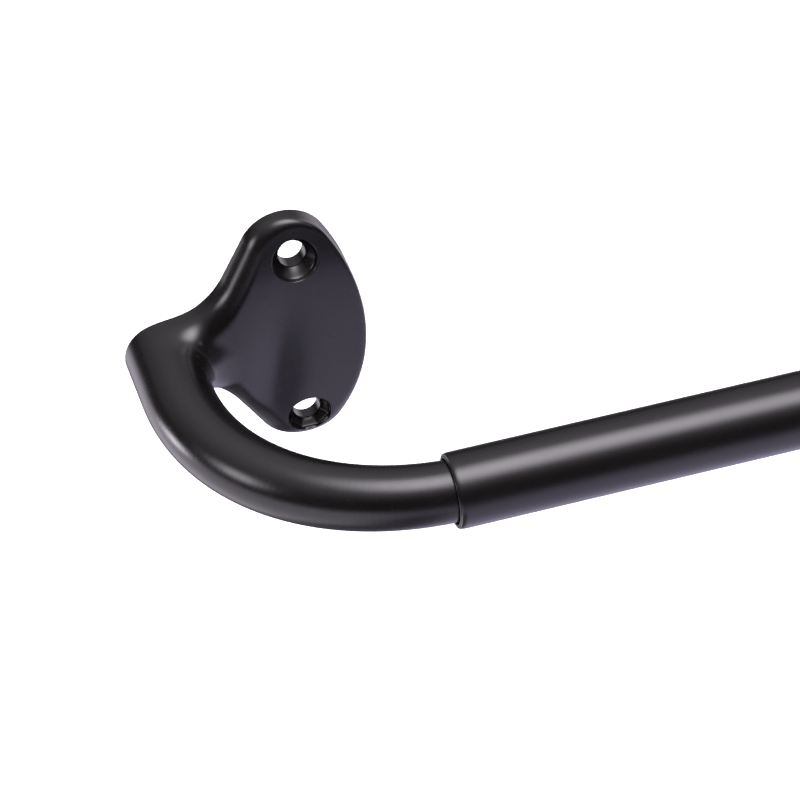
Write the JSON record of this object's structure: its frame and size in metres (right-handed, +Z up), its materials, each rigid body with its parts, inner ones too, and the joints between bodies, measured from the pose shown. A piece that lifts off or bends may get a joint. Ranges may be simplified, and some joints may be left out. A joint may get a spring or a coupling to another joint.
{
  "type": "curtain rod with brackets",
  "caption": "Telescoping wrap-around curtain rod with cast elbow brackets that screw flat to a wall.",
  "frame": {"origin": "on the flat back face of the left bracket's wall plate, midway between its two screw holes", "axes": "+X along the rod from the left bracket to the right one, +Y into the wall, +Z up; the rod axis is 65 mm in front of the wall at Y = -0.065"},
  "size_m": [0.711, 0.073, 0.0608],
  "materials": {
    "bracket_coat": "satin black powder coat on a casting",
    "tube_coat": "satin black coat on a drawn steel tube",
    "black_nylon": "moulded, matt",
    "natural_nylon": "moulded, slightly waxy"
  },
  "bodies": {
    "left_end": {"left_bracket": "bracket_coat"},
    "outer_rod": {"outer_tube": "tube_coat", "left_spigot_sleeve": "black_nylon"},
    "inner_rod": {"inner_tube": "tube_coat", "inner_tube_glide": "natural_nylon"},
    "right_end": {"right_bracket": "bracket_coat"}
  },
  "joints": [
    {"name": "outer_rod_swivel", "type": "hinge", "parent": "left_end", "child": "outer_rod", "pos_m": [0.0153, -0.065, 0], "axis": [1, 0, 0], "continuous": true},
    {"name": "rod_extension", "type": "slide", "parent": "outer_rod", "child": "inner_rod", "axis": [1, 0, 0], "range_m": [0, 0.5]},
    {"name": "right_bracket_swivel", "type": "hinge", "parent": "inner_rod", "child": "right_end", "pos_m": [0.6197, -0.065, 0], "axis": [1, 0, 0], "continuous": true}
  ]
}
